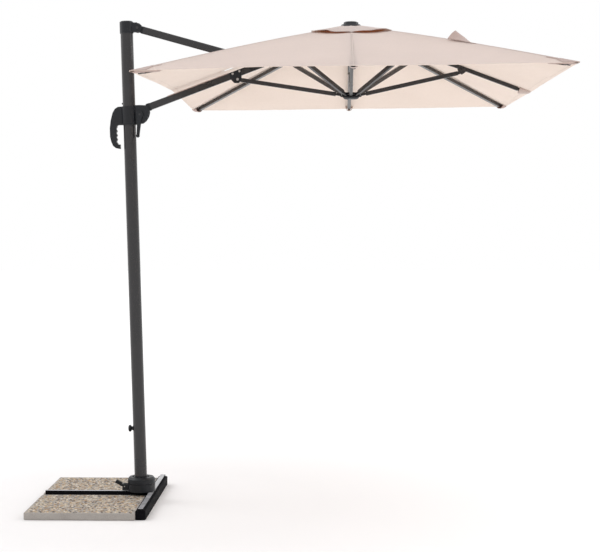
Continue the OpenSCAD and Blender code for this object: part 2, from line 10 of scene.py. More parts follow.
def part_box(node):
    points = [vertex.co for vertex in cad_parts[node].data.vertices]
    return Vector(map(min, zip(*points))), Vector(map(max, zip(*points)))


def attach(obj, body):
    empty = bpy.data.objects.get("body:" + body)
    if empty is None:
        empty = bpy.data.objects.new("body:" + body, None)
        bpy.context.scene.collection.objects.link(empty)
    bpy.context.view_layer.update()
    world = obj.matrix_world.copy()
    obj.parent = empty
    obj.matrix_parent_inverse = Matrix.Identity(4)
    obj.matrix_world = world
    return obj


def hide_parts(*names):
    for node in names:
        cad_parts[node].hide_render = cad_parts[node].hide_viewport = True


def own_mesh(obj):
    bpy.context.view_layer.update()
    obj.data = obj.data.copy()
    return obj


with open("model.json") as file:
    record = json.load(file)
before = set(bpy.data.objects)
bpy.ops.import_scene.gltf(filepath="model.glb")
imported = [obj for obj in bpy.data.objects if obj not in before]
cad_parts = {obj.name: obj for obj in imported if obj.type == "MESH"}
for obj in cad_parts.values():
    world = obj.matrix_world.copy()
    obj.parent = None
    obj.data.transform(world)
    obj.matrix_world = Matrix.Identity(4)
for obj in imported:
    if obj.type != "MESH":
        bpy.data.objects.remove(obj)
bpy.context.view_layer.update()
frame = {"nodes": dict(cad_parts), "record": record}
NODES = frame["nodes"]

# ---------------------------------------------------------------- places taken from the frame
hub_low, hub_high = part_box("top_hub")
HUB_X = (hub_low.x + hub_high.x) / 2
APEX_Z = hub_high.z                      # the straight lines of the cloth meet here
FORK_LOW, FORK_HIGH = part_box("strut_fork")
RAIL_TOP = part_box("rail_cross")[1].z
RIB_TURNS = {
    "right": 0, "back_right": 1, "back": 2, "back_left": 3,
    "arm": 4, "front_left": 5, "front": 6, "front_right": 7,
}

# ---------------------------------------------------------------- sizes of the canopy
HALF_L = 1.0                             # half the canopy along X
HALF_W = 1.5                             # half the canopy along Y
NEAR_Z, BACK_Z, FAR_Z = 2.221, 2.236, 2.256   # corners beside the mast, behind it and far from it
NEAR_MID_Z, FAR_MID_Z, LONG_MID_Z = 2.25, 2.238, 2.243   # middles of the near, far and long edges
MID_IN, LONG_IN = 0.026, 0.008           # how far those middles stand inside the rectangle
PULL_IN = 0.014                          # how far the rim does halfway between a corner and a middle
FAR_DROP = 0.008                         # and how much lower or higher it is there:
LONG_FAR_RISE, LONG_NEAR_DROP = 0.005, 0.006
BACK_RISE, NEAR_RISE = 0.009, 0.016
SAG = 0.012                              # how far the cloth hollows between two ribs
WRINKLE = 0.0016                         # height of the cloth's slight unevenness
CORNER_BOW, MID_BOW = 0.014, 0.007       # how far the cloth over a bent rib stands above a straight line
BOW_PEAK = 0.75                          # power that moves the bow's highest point towards the apex
BOW_FROM = 0.2                           # share of the way out where the bow is there in full
CLOTH_T = 0.0015                         # thickness of a doubled hem or seam; plain cloth is half of it
LIFT = 0.0022                            # cloth's upper face above the CAD's lines
HEM = 0.028                              # width of the hem
SEAM = 0.007                             # half the width of a felled seam
HEM_STEP, SEAM_STEP = 0.0004, 0.0006     # how quickly the thickness changes beside them, as shares
INNER = 0.1                              # the vent opening, as a share of the way out to the rim
VENT_SHADE_OUT = 0.19                        # the cloth up to here, under the vent top, takes the warm painted shade seen in the gap under it
ROWS_OUT, STEPS_ALONG = 44, 40           # a panel's steps out to the rim, and along one stretch of it
SLIT_BEHIND, SLIT_AHEAD, SLIT_HALF = 0.03, 0.012, 0.024   # the slit around the strut's fork

# ---------------------------------------------------------------- sizes of the stitches
SEAM_ROW = 0.0045                        # from a seam's middle to each of its rows of stitches
HEM_ROW = 0.004                          # from the hem's inner edge to its row
SEAM_THREAD, HEM_THREAD = 0.0005, 0.0006   # half the width of the thread
STITCHES_PER_M = 250.0
STITCH_SHARE = 0.7                       # the stitched part of each pitch; the rest is a gap

# ---------------------------------------------------------------- sizes of the smaller cloth pieces
VENT_IN, VENT_OUT = 0.045, 0.21          # the vent top's inner and outer edge, as shares of the way out
VENT_LIFT = 0.0125                       # the vent top's height over the canopy's lines
VENT_GAPE = 0.02                         # how far its edge gapes between two ribs
VENT_CLEAR = 0.0022                      # how far its edge stands off the canopy at a rib
VENT_ROUND = 1.6                         # power of its curve from the middle down to the edge
VENT_HEM = 0.024
VENT_ROWS, VENT_STEPS = 12, 14
POCKET_LONG = {"front_left": 0.18, "front_right": 0.18, "front": 0.16}
POCKET_SHORT = 0.062
POCKET_DEPTH, POCKET_END = 0.026, 0.006  # the depth that is lost towards the closed end, and what is left
CORNER_POCKET = (0.024, 0.017, 0.019)    # half width at the mouth and at the closed end, start inside rim
EDGE_POCKET = (0.022, 0.018, 0.004)
BINDING_LIFT = 0.0012                    # pockets below the canopy's upper face, corner patches above it
PATCH_IN, PATCH_HALF = 0.07, 0.075       # a corner patch's shares of the way in and of the rim's stretch
PATCH_TIP = 0.35                         # its inner edge's width against its outer edge's
ARM_NEAR_DEPTH, ARM_FAR_DEPTH = 0.0375, 0.034   # the arm tube's depth at its two ends
ARM_RISE = 0.36                          # first guess at the arm's angle
ARM_BAND_IN, ARM_BAND_SHORT = 0.004, 0.006   # the band's start inside the rim, and its end off the bracket
ARM_RIPPLE = 0.0009
# The strap's two edges from its sewn tail to its free end: x, y, height above the cloth
STRAP_NEAR = [(1.742, -0.905, 0.003), (1.716, -0.874, 0.005), (1.69, -0.843, 0.007),
              (1.662, -0.81, 0.009), (1.638, -0.782, 0.01), (1.6145, -0.755, 0.01)]
STRAP_FAR = [(1.774, -0.845, 0.003), (1.742, -0.817, 0.009), (1.718, -0.79, 0.02),
             (1.697, -0.766, 0.033), (1.676, -0.743, 0.045), (1.657, -0.722, 0.056)]
STRAP_CURL = 0.005                       # how far the free end is hollowed

# ---------------------------------------------------------------- sizes of the slabs
SLAB_CORNER, SLAB_BEVEL = 0.011, 0.005   # radius of the upright corners, width of the worn edges
PEBBLE_PITCH = 0.0145
PEBBLE_MARGIN = 0.0085                   # from the slab's edge to the first pebble's middle
PEBBLE_STAND = 0.0022                    # from the mortar to the top of the CAD's slab
PEBBLE_RINGS = ((0.5, 0.86), (0.86, 0.42), (1.0, -0.4))   # spread and height; the last one is sunk
PEBBLE_SIDES = 8

# ---------------------------------------------------------------- camera and floor
CAMERA_AT = (1.0805, -8.3031, 1.6175)
CAMERA_DOWN, CAMERA_LEFT = 0.0452, 0.0251   # radians down from level, and left of the Y axis
CAMERA_LENS, CAMERA_SENSOR = 91.46, 36.0
FLOOR_HALF, FLOOR_Z = 30, -0.0005
# the floor's colour near the parasol is a painted shadow, a little darker than far off
FLOOR_IN_PAINTED_SHADOW, FLOOR_FAR = (0.875, 0.865, 0.87), (0.9, 0.895, 0.895)
FLOOR_GLOW = 0.24                        # the far floor's own light, which blends it into the backdrop


# ---------------------------------------------------------------- materials
class Nodes:
    """Adds shader nodes to one material, and links them by socket name."""

    def __init__(self, name):
        self.mat = bpy.data.materials.new(name)
        self.mat.use_nodes = True
        self.tree = self.mat.node_tree
        self.shader = self.tree.nodes["Principled BSDF"]
        self.output = self.tree.nodes["Material Output"]

    def add(self, kind, links=None, **values):
        node = self.tree.nodes.new("ShaderNode" + kind)
        for key, value in values.items():
            setattr(node, key, value)
        for key, value in (links or {}).items():
            self.put(node, key, value)
        return node

    def put(self, node, key, value):
        socket = node.inputs[key]
        if isinstance(value, bpy.types.NodeSocket):
            self.tree.links.new(value, socket)
        else:
            socket.default_value = value

    def set(self, **values):
        for key, value in values.items():
            self.put(self.shader, key.replace("_", " "), value)

    def place(self, scale=(1, 1, 1)):
        coords = self.add("TexCoord").outputs["Object"]
        return self.add("Mapping", {"Vector": coords, "Scale": scale}).outputs["Vector"]

    def noise(self, scale, detail=2.0, where=None, rough=0.5):
        where = where or self.place()
        links = {"Vector": where, "Scale": scale, "Detail": detail, "Roughness": rough}
        return self.add("TexNoise", links).outputs["Fac"]

    def wave(self, scale, direction, where):
        links = {"Vector": where, "Scale": scale, "Distortion": 0.0}
        return self.add("TexWave", links, bands_direction=direction).outputs["Fac"]

    def math(self, operation, a, b=0.5):
        return self.add("Math", {0: a, 1: b}, operation=operation).outputs["Value"]

    def ramp(self, value, stops, constant=False):
        made = self.add("ValToRGB", {"Fac": value})
        made.color_ramp.interpolation = "CONSTANT" if constant else "LINEAR"
        elements = made.color_ramp.elements
        while len(elements) < len(stops):
            elements.new(0.5)
        for element, (place, colour) in zip(elements, stops):
            element.position = place
            element.color = (*colour, 1)
        return made.outputs["Color"]

    def span(self, value, low, high):
        """value from 0 to 1 mapped onto low to high"""
        made = self.add("MapRange", {"Value": value, "To Min": low, "To Max": high})
        return made.outputs["Result"]

    def mix(self, share, a, b, how="MIX"):
        made = self.add("Mix", data_type="RGBA", blend_type=how)
        for index, value in ((0, share), (6, a), (7, b)):
            if isinstance(value, tuple):
                value = (*value, 1)
            self.put(made, index, value)
        return made.outputs[2]

    def bump(self, height, distance, strength, below=None):
        links = {"Height": height, "Distance": distance, "Strength": strength}
        if below is not None:
            links["Normal"] = below
        return self.add("Bump", links).outputs["Normal"]


def srgb(red, green, blue):
    """A colour given from 0 to 255 as the linear colour that a shader takes"""
    return tuple(((c / 255 + 0.055) / 1.055) ** 2.4 if c > 10 else c / 3294.6
                 for c in (red, green, blue))


def painted_metal():
    n = Nodes("anthracite_paint")
    mottle = n.noise(7.0, 3.0)
    colour = n.ramp(mottle, [(0.3, srgb(25, 23, 25)), (0.7, srgb(31, 29, 31))])
    dust = n.noise(38.0, 6.0, rough=0.7)
    dusty = n.ramp(dust, [(0.62, (0, 0, 0)), (0.85, (0.35, 0.35, 0.35))])
    colour = n.mix(dusty, colour, srgb(70, 67, 66))
    n.set(Base_Color=colour, Metallic=0.0, Roughness=n.span(mottle, 0.24, 0.32), IOR=1.5,
          Coat_Weight=0.15, Coat_Roughness=0.15)
    n.set(Normal=n.bump(n.noise(900.0, 2.0), 0.0002, 0.35))
    return n.mat


def rail_paint():
    """Black paint, with a painted highlight: pale grey colour along the top of a rail's ridge, where the
    paint is also shinier
    """
    n = Nodes("rail_paint")
    up = n.add("SeparateXYZ", {"Vector": n.add("NewGeometry").outputs["Normal"]}).outputs["Z"]
    streak_noise = n.noise(60.0, 6.0, where=n.place((0.1, 1, 1)), rough=0.7)
    side = n.ramp(n.noise(9.0, 3.0), [(0.3, srgb(15, 14, 17)), (0.7, srgb(20, 19, 22))])
    # top: the painted highlight's pale grey, varied along the rail by a stretched noise
    top = n.ramp(streak_noise, [(0.35, srgb(128, 128, 132)), (0.65, srgb(176, 176, 180))])
    height = n.add("SeparateXYZ", {"Vector": n.place()}).outputs["Z"]
    on_ridge = n.math("GREATER_THAN", height, RAIL_TOP - 0.002)
    # painted highlight: upward faces at the ridge's height take the pale colour
    painted_highlight = n.math("MULTIPLY", n.math("GREATER_THAN", up, 0.8), on_ridge)
    n.set(Base_Color=n.mix(painted_highlight, side, top), IOR=n.span(painted_highlight, 1.08, 1.5),
          Roughness=n.span(painted_highlight, 0.6, 0.25), Normal=n.bump(n.noise(900.0, 2.0), 0.0002, 0.2))
    return n.mat


def plastic(name, dark, light, rough, grain):
    n = Nodes(name)
    mottle = n.noise(14.0, 4.0)
    streak_noise = n.noise(90.0, 8.0, where=n.place((1, 1, 0.12)), rough=0.75)
    colour = n.ramp(mottle, [(0.3, dark), (0.7, light)])
    scuffed = n.ramp(streak_noise, [(0.66, (0, 0, 0)), (0.8, (0.25, 0.25, 0.25))])
    colour = n.mix(scuffed, colour, srgb(96, 98, 102))
    n.set(Base_Color=colour, Roughness=n.span(streak_noise, rough - 0.08, rough + 0.12), IOR=1.42)
    n.set(Normal=n.bump(n.noise(grain, 3.0), 0.0003, 0.5))
    return n.mat


def brushed_steel():
    n = Nodes("zinc_plated_steel")
    lines = n.noise(260.0, 4.0, where=n.place((1, 0.06, 1)))
    n.set(Base_Color=n.ramp(lines, [(0.3, srgb(150, 150, 150)), (0.7, srgb(196, 196, 194))]),
          Metallic=1.0, Roughness=n.span(lines, 0.22, 0.42), Normal=n.bump(lines, 0.0002, 0.4))
    return n.mat


def nylon():
    n = Nodes("white_nylon")
    cloud = n.noise(25.0, 3.0)
    n.set(Base_Color=n.ramp(cloud, [(0.3, srgb(206, 204, 196)), (0.7, srgb(226, 225, 218))]),
          Roughness=n.span(cloud, 0.35, 0.5), Normal=n.bump(n.noise(700.0), 0.0002, 0.3))
    return n.mat


def rubber():
    n = Nodes("black_rubber")
    cloud = n.noise(60.0, 5.0)
    n.set(Base_Color=n.ramp(cloud, [(0.3, srgb(24, 24, 25)), (0.7, srgb(40, 39, 38))]),
          Roughness=n.span(cloud, 0.65, 0.85), Normal=n.bump(n.noise(1200.0, 3.0), 0.0004, 0.6))
    return n.mat


def concrete():
    """The smooth cast sides and the mortar between the pebbles"""
    n = Nodes("cast_concrete")
    cloud = n.noise(9.0, 6.0, rough=0.65)
    grains = n.noise(420.0, 5.0, rough=0.7)
    pores = n.add("TexVoronoi", {"Vector": n.place(), "Scale": 95.0}).outputs["Distance"]
    pit = n.ramp(pores, [(0.05, (0, 0, 0)), (0.16, (1, 1, 1))])
    colour = n.ramp(cloud, [(0.3, srgb(154, 148, 142)), (0.72, srgb(180, 174, 168))])
    sand = n.ramp(grains, [(0.35, srgb(104, 98, 94)), (0.65, srgb(188, 182, 176))])
    colour = n.mix(0.35, colour, sand)
    # the pores are darkened in colour too, to three quarters at their middles: painted shade in them
    colour = n.mix(0.25, colour, n.mix(1.0, colour, pit, "MULTIPLY"))
    n.set(Base_Color=colour, Roughness=n.span(grains, 0.75, 0.95),
          Normal=n.bump(pit, 0.0012, 0.5, n.bump(grains, 0.0006, 0.6)))
    return n.mat


PEBBLE_STOPS = [
    (0.0, srgb(184, 164, 134)), (0.16, srgb(142, 115, 86)), (0.3, srgb(208, 190, 162)),
    (0.44, srgb(112, 98, 84)), (0.56, srgb(158, 151, 142)), (0.68, srgb(186, 152, 112)),
    (0.8, srgb(228, 216, 198)), (0.9, srgb(78, 69, 64)),
]


def pebbles():
    """Stones whose tint is kept, one for each, in the mesh's attribute called tint"""
    n = Nodes("exposed_pebbles")
    tint = n.add("Attribute", attribute_name="tint").outputs["Fac"]
    colour = n.ramp(tint, PEBBLE_STOPS, constant=True)
    veins = n.noise(160.0, 6.0, rough=0.7)
    veined = n.ramp(veins, [(0.3, (0.5, 0.46, 0.42)), (0.7, (1.0, 1.0, 1.0))])
    colour = n.mix(0.4, colour, n.mix(1.0, colour, veined, "MULTIPLY"))
    n.set(Base_Color=colour, Roughness=n.span(veins, 0.45, 0.75),
          Normal=n.bump(n.noise(900.0, 4.0), 0.0004, 0.5))
    return n.mat


def cloth(name, light, shade, glow, through):
    """Plain-woven cloth that lets some light through; UV is metres across the seam and in from the hem"""
    n = Nodes(name)
    weave_at = n.place()
    warp = n.wave(310.0, "X", weave_at)
    weft = n.wave(310.0, "Y", weave_at)
    weave = n.math("MULTIPLY", warp, weft)
    cloud = n.noise(2.2, 5.0, rough=0.6)
    slub = n.noise(120.0, 3.0, where=n.place((1, 0.08, 1)))
    colour = n.ramp(cloud, [(0.3, shade), (0.7, light)])
    thick = n.ramp(slub, [(0.35, (0.6, 0.56, 0.52)), (0.6, (1.0, 1.0, 1.0))])
    colour = n.mix(0.06, colour, n.mix(1.0, colour, thick, "MULTIPLY"))
    colour = n.mix(stitches(n), colour, srgb(176, 158, 146))
    n.set(Base_Color=colour, Roughness=0.85, Sheen_Weight=0.25, Sheen_Roughness=0.5)
    low = n.bump(cloud, 0.01, 0.15)
    n.set(Normal=n.bump(weave, 0.0003, 0.35, low))
    back = n.add("BsdfTranslucent", {"Color": (*glow, 1)})
    both = n.add("MixShader", {"Fac": through, 1: n.shader.outputs["BSDF"], 2: back.outputs["BSDF"]})
    n.tree.links.new(both.outputs["Shader"], n.output.inputs["Surface"])
    return n.mat


def stitches(n):
    """1 on the thread of two seam rows and one hem row, 0 elsewhere"""
    uv = n.add("SeparateXYZ", {"Vector": n.add("UVMap").outputs["UV"]})
    across, inward = uv.outputs["X"], uv.outputs["Y"]

    def row(distance, place, half):
        return n.math("LESS_THAN", n.math("ABSOLUTE", n.math("SUBTRACT", distance, place)), half)

    def dashes(along):
        return n.math("LESS_THAN", n.math("FRACT", n.math("MULTIPLY", along, STITCHES_PER_M)), STITCH_SHARE)

    seam_rows = row(n.math("ABSOLUTE", across), SEAM_ROW, SEAM_THREAD)
    seam = n.math("MULTIPLY", seam_rows, dashes(inward))
    hem = n.math("MULTIPLY", row(inward, HEM - HEM_ROW, HEM_THREAD), dashes(across))
    return n.math("MAXIMUM", seam, hem)


PAINT = painted_metal()
RAIL = rail_paint()
BLACK = plastic("black_plastic", srgb(12, 14, 19), srgb(17, 20, 26), 0.4, 1400.0)
GLOSS = plastic("glossy_cap", srgb(30, 32, 36), srgb(40, 42, 47), 0.14, 200.0)
STEEL = brushed_steel()
NYLON = nylon()
RUBBER = rubber()
CONCRETE = concrete()
PEBBLES = pebbles()
CLOTH = cloth("canopy_cloth", srgb(221, 206, 200), srgb(215, 200, 194), srgb(240, 229, 222), 0.3)
# painted light: the underside's copy of the cloth is painted lighter, for the light that comes through the
# cloth
LIT_UNDERSIDE = cloth("canopy_underside_painted_light", srgb(248, 235, 224), srgb(242, 228, 216), srgb(252, 240, 230), 0.3)
# painted shade: the warm, shadowed cloth seen in the gap under the vent top, tinted by light through the
# cloth
VENT_GAP_SHADE = cloth("vent_gap_painted_shade", srgb(232, 168, 108), srgb(208, 142, 86), srgb(230, 156, 92), 0.3)
BAND = cloth("binding_cloth", srgb(206, 184, 176), srgb(190, 165, 158), srgb(214, 190, 176), 0.2)


# ---------------------------------------------------------------- mesh helpers
def new_object(name, points, faces, material, smooth=True):
    mesh = bpy.data.meshes.new(name)
    mesh.from_pydata([tuple(p) for p in points], [], faces)
    mesh.validate()
    mesh.update()
    mesh.polygons.foreach_set("use_smooth", [smooth] * len(mesh.polygons))
    made = bpy.data.objects.new(name, mesh)
    bpy.context.scene.collection.objects.link(made)
    made.data.materials.append(material)
    return made


def grid_faces(rows, columns):
    """The four-cornered faces between the points of a grid, which are given row by row"""
    return [(r * columns + c, r * columns + c + 1, (r + 1) * columns + c + 1, (r + 1) * columns + c)
            for r in range(rows - 1) for c in range(columns - 1)]


def grid_normals(points, rows, columns):
    normals = []
    for r in range(rows):
        for c in range(columns):
            down = points[min(rows - 1, r + 1) * columns + c] - points[max(0, r - 1) * columns + c]
            over = points[r * columns + min(columns - 1, c + 1)] - points[r * columns + max(0, c - 1)]
            n = down.cross(over).normalized()
            normals.append(n if n.z > 0 else -n)
    return normals


def set_uv(made, values):
    """values: one (u, v) for each vertex"""
    layer = made.data.uv_layers.new(name="cloth")
    loops = np.zeros(len(made.data.loops), np.int32)
    made.data.loops.foreach_get("vertex_index", loops)
    layer.data.foreach_set("uv", np.asarray(values, np.float32)[loops].ravel())


def thicken(made, thickness, doubled=None):
    """A Solidify over the sheet; where doubled is 0 the cloth is half as thick as where it is 1"""
    solid = made.modifiers.new("thickness", "SOLIDIFY")
    solid.thickness = thickness
    solid.offset = -1.0
    if doubled is not None:
        group = made.vertex_groups.new(name="doubled")
        for index, share in enumerate(doubled):
            group.add([index], 0.5 + 0.5 * share, "REPLACE")
        solid.vertex_group = "doubled"


# ---------------------------------------------------------------- canopy
def anchors():
    """The rim's eight fixed points in order of azimuth, and the point halfway along each stretch"""
    l, w = HALF_L, HALF_W
    fixed = [
        (l - MID_IN, 0, FAR_MID_Z), (l, w, FAR_Z), (0, w - LONG_IN, LONG_MID_Z), (-l, w, BACK_Z),
        (MID_IN - l, 0, NEAR_MID_Z), (-l, -w, NEAR_Z), (0, LONG_IN - w, LONG_MID_Z), (l, -w, FAR_Z),
    ]
    between = [
        (l - PULL_IN, w / 2, FAR_Z - FAR_DROP), (l / 2, w - PULL_IN, LONG_MID_Z + LONG_FAR_RISE),
        (-l / 2, w - PULL_IN, LONG_MID_Z - LONG_NEAR_DROP), (PULL_IN - l, w / 2, BACK_Z + BACK_RISE),
        (PULL_IN - l, -w / 2, NEAR_Z + NEAR_RISE), (-l / 2, PULL_IN - w, LONG_MID_Z - LONG_NEAR_DROP),
        (l / 2, PULL_IN - w, LONG_MID_Z + LONG_FAR_RISE), (l - PULL_IN, -w / 2, FAR_Z - FAR_DROP),
    ]
    return np.array(fixed, float), np.array(between, float)


FIXED, BETWEEN = anchors()
APEX = np.array([0.0, 0.0, APEX_Z])


def canopy_point(stretch, s, t):
    """A point of the cloth: s runs along a stretch of the rim from rib to rib, t from the apex to the rim"""
    a, b, m = FIXED[stretch], FIXED[(stretch + 1) % 8], BETWEEN[stretch]
    bow = 4 * s * (1 - s)
    rim = a * (1 - s) + b * s + bow * (m - (a + b) / 2)
    p = APEX + (rim - APEX) * t
    p[2] -= bow * SAG * 4 * t * (1 - t)
    u = t ** BOW_PEAK
    corner = s if stretch % 2 == 0 else 1 - s
    p[2] += (MID_BOW + (CORNER_BOW - MID_BOW) * corner) * 4 * u * (1 - u) * min(1.0, t / BOW_FROM)
    wide = noise.noise(Vector((p[0] * 2.5, p[1] * 2.5, 1.7)))
    fold = wide + 0.6 * noise.noise(Vector((p[0] * 8, p[1] * 5, 4.1)))
    p[2] += WRINKLE * fold * min(1.0, 3 * bow) * t
    return Vector((HUB_X + p[0], p[1], p[2] + LIFT))


def shares(count, stops):
    """The ends of count even steps from 0 to 1, with the stops put in"""
    return sorted(set([i / count for i in range(count + 1)]) | set(stops))


def closed_sheet(points, rows, columns, thickness, keep):
    """A sheet's upper layer, a lower one under it and walls around every free edge.

    Gives the points, the upper faces, the other faces and which of the grid's points are used.
    """
    normals = grid_normals(points, rows, columns)
    upper = [f for f in grid_faces(rows, columns) if keep(f)]
    a, b, c = (points[i] for i in upper[0][:3])
    if (b - a).cross(c - b).z < 0:
        upper = [f[::-1] for f in upper]
    used = sorted({i for f in upper for i in f})
    place = {i: k for k, i in enumerate(used)}
    upper = [tuple(place[i] for i in f) for f in upper]
    top = [points[i] for i in used]
    low = [points[i] - normals[i] * thickness[i] for i in used]
    count = len(used)
    edges = {(f[i - 1], f[i]) for f in upper for i in range(4)}
    rest = [tuple(i + count for i in reversed(f)) for f in upper]
    rest += [(b, a, a + count, b + count) for a, b in edges if (b, a) not in edges]
    return top + low, upper, rest, used


def flat_walls(panel, first):
    """Flat walls with sharp edges, from that face on, so that they don't tilt the layers' shading"""
    walls = panel.data.polygons[first:]
    for face in walls:
        face.use_smooth = False
    keys = {key for face in walls for key in face.edge_keys}
    for edge in panel.data.edges:
        if edge.key in keys:
            edge.use_edge_sharp = True


def in_slit(p):
    """Whether a point is in the opening over the arm, where the upper strut passes through the cloth"""
    return FORK_LOW.x - SLIT_BEHIND < p.x < FORK_HIGH.x + SLIT_AHEAD and abs(p.y) < SLIT_HALF


def rider(place):
    """The body that the cloth around a rib moves with"""
    return "arm" if place == "arm" else f"rib_{place}_body"


def canopy_panel(turn, body, name):
    """The cloth around one rib, out to halfway to each neighbour"""
    azimuth = math.atan2(FIXED[turn][1], FIXED[turn][0])
    reach = math.hypot(FIXED[turn][0], FIXED[turn][1])
    side = Vector((-math.sin(azimuth), math.cos(azimuth), 0))
    hem_t = 1 - HEM / reach
    ts = shares(ROWS_OUT, [hem_t - HEM_STEP, hem_t, INNER])
    ts = [t for t in ts if t >= INNER - 1e-9]
    halves = (FIXED[turn] - FIXED[turn - 1], FIXED[(turn + 1) % 8] - FIXED[turn])
    lows = [SEAM / np.linalg.norm(h[:2]) for h in halves]
    before = [1 - s for s in shares(STEPS_ALONG, [lows[0], lows[0] + SEAM_STEP]) if s <= 0.5]
    after = [s for s in shares(STEPS_ALONG, [lows[1], lows[1] + SEAM_STEP]) if s <= 0.5]
    columns = [((turn - 1) % 8, s) for s in sorted(before)] + [(turn, s) for s in after[1:]]
    points, uv, thickness = [], [], []
    for t in ts:
        for stretch, s in columns:
            p = canopy_point(stretch, s, t)
            inward = (1 - t) * reach
            low = lows[1] if stretch == turn else lows[0]
            doubled = inward <= HEM + 1e-6 or min(s, 1 - s) <= low + 1e-6
            points.append(p + Vector((0, 0, CLOTH_T / 2 if doubled else 0)))
            uv.append(((p - Vector((HUB_X, 0, 0))).dot(side), inward))
            thickness.append(CLOTH_T if doubled else CLOTH_T / 2)

    def keep(f):
        return body != "arm" or not in_slit(sum((points[i] for i in f), Vector()) / 4)

    made, upper, others, used = closed_sheet(points, len(ts), len(columns), thickness, keep)
    uv = [uv[i] for i in used]
    panel = new_object(name, made, upper + others, CLOTH)
    set_uv(panel, uv + uv)
    panel.data.materials.append(VENT_GAP_SHADE)
    panel.data.materials.append(LIT_UNDERSIDE)
    flat_walls(panel, 2 * len(upper))
    # faces near the apex, under the vent top, take its painted shade
    vent_shade_from = (1 - VENT_SHADE_OUT) * reach
    for face in panel.data.polygons:
        if uv[face.vertices[0] % len(uv)][1] > vent_shade_from:
            face.material_index = 1
        # the lower layer and the walls take the underside's lighter copy, which is painted light
        elif face.index >= len(upper):
            face.material_index = 2
    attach(panel, body)
    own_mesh(panel)
    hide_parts("canopy")


for place, turn in RIB_TURNS.items():
    canopy_panel(turn, rider(place), f"canopy_{place}")


# ---------------------------------------------------------------- vent top, pockets, band and strap
def sheet_piece(name, rows, material, thickness, body, node, sidewise=None):
    """A sheet through rows of points, thickened downwards and carried by a body; sidewise, when given, only
    gives the piece a mesh of its own
    """
    columns = len(rows[0])
    points = [p for row in rows for p in row]
    faces = grid_faces(len(rows), columns)
    piece = new_object(name, points, faces, material)
    lengths = [0.0]
    for a, b in zip(rows, rows[1:]):
        lengths.append(lengths[-1] + (b[columns // 2] - a[columns // 2]).length)
    uv = []
    for row, down in zip(rows, lengths):
        middle = row[columns // 2]
        uv += [(math.copysign((p - middle).length, i - columns // 2), lengths[-1] - down)
               for i, p in enumerate(row)]
    set_uv(piece, uv)
    thicken(piece, thickness)
    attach(piece, body)
    if sidewise is not None:
        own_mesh(piece)
    if node:
        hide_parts(node)


def vent_point(stretch, s, t):
    """A point of the vent top, which lies near the canopy at the ribs and gapes unevenly between them"""
    p = canopy_point(stretch, s, t)
    edge = max(0.0, (t - VENT_IN) / (VENT_OUT - VENT_IN)) ** VENT_ROUND
    lopsided = 1.25 - 0.5 * math.cos(math.pi * (2 * s - 1 + 0.5 * (-1) ** stretch))
    skew = 4 * s * (1 - s) * lopsided
    uneven = 0.75 + 0.5 * noise.noise(Vector((stretch * 3.3, s * 4, 0.5)))
    gape = VENT_CLEAR + VENT_GAPE * min(1.0, skew) * uneven
    p.z += VENT_LIFT * (1 - edge) + gape * edge
    return p


def vent_top():
    """The raised cloth over the vent opening, a closed ring with its own hem"""
    columns = [(stretch, i / VENT_STEPS) for stretch in range(8) for i in range(VENT_STEPS)]
    ts = [VENT_IN + (VENT_OUT - VENT_IN) * k / VENT_ROWS for k in range(VENT_ROWS + 1)]
    points = [vent_point(stretch, s, t) for t in ts for stretch, s in columns]
    count = len(columns)
    faces = []
    for r in range(VENT_ROWS):
        a, b = r * count, (r + 1) * count
        faces += [(a + c, a + (c + 1) % count, b + (c + 1) % count, b + c) for c in range(count)]
    piece = new_object("vent_cover", points, faces, CLOTH)
    reach = math.hypot(HALF_L, HALF_W)
    set_uv(piece, [(1.0, (VENT_OUT - t) * reach) for t in ts for _ in range(count)])
    hem = [1.0 if (VENT_OUT - t) * reach < VENT_HEM else 0.0 for t in ts for _ in range(count)]
    thicken(piece, CLOTH_T, hem)
    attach(piece, "hub")
    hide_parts("vent_top")


def rim_frame(turn):
    """The outward direction along the line of a rib, and the level direction across it"""
    out = (Vector(FIXED[turn]) - Vector(APEX)).normalized()
    side = Vector((-out.y, out.x, 0)).normalized()
    return out, side


def pocket(turn, body, place):
    """The sewn pocket under the rim that a rib's end stands in: a half sleeve, wide at its mouth"""
    out, side = rim_frame(turn)
    down = side.cross(out)
    if down.z > 0:
        down = -down
    corner = turn % 2 == 1
    mouth, closed, start = CORNER_POCKET if corner else EDGE_POCKET
    length = POCKET_LONG.get(place, POCKET_SHORT)
    reach = (Vector(FIXED[turn]) - Vector(APEX)).length
    rows = []
    for k in range(9):
        share = k / 8
        back = length * (1 - share) + start
        base = canopy_point(turn, 0.0, 1 - back / reach)
        half = mouth + (closed - mouth) * share ** 1.5
        depth = POCKET_DEPTH * (1 - share) ** 0.6 + POCKET_END
        row = []
        for i in range(13):
            a = math.pi * i / 12
            row.append(base + side * (half * math.cos(a))
                       + down * (BINDING_LIFT + depth * math.sin(a) ** 0.8))
        rows.append(row)
    material = BAND if corner else CLOTH
    sheet_piece(f"pocket_{place}", rows, material, 0.0012, body, None, side)


def corner_patch(turn, body, name):
    """The doubled, darker cloth over a corner of the canopy"""
    rows = []
    for k in range(9):
        t = 1.0 - PATCH_IN * (1 - k / 8)
        row = []
        for i in range(17):
            s = (i / 8 - 1) * PATCH_HALF * (PATCH_TIP + (1 - PATCH_TIP) * k / 8)
            stretch, at = (turn, s) if s >= 0 else ((turn - 1) % 8, 1 + s)
            row.append(canopy_point(stretch, at, t) + Vector((0, 0, BINDING_LIFT)))
        rows.append(row)
    side = rim_frame(turn)[1]
    sheet_piece(name, rows, BAND, 0.001, body, None, side)


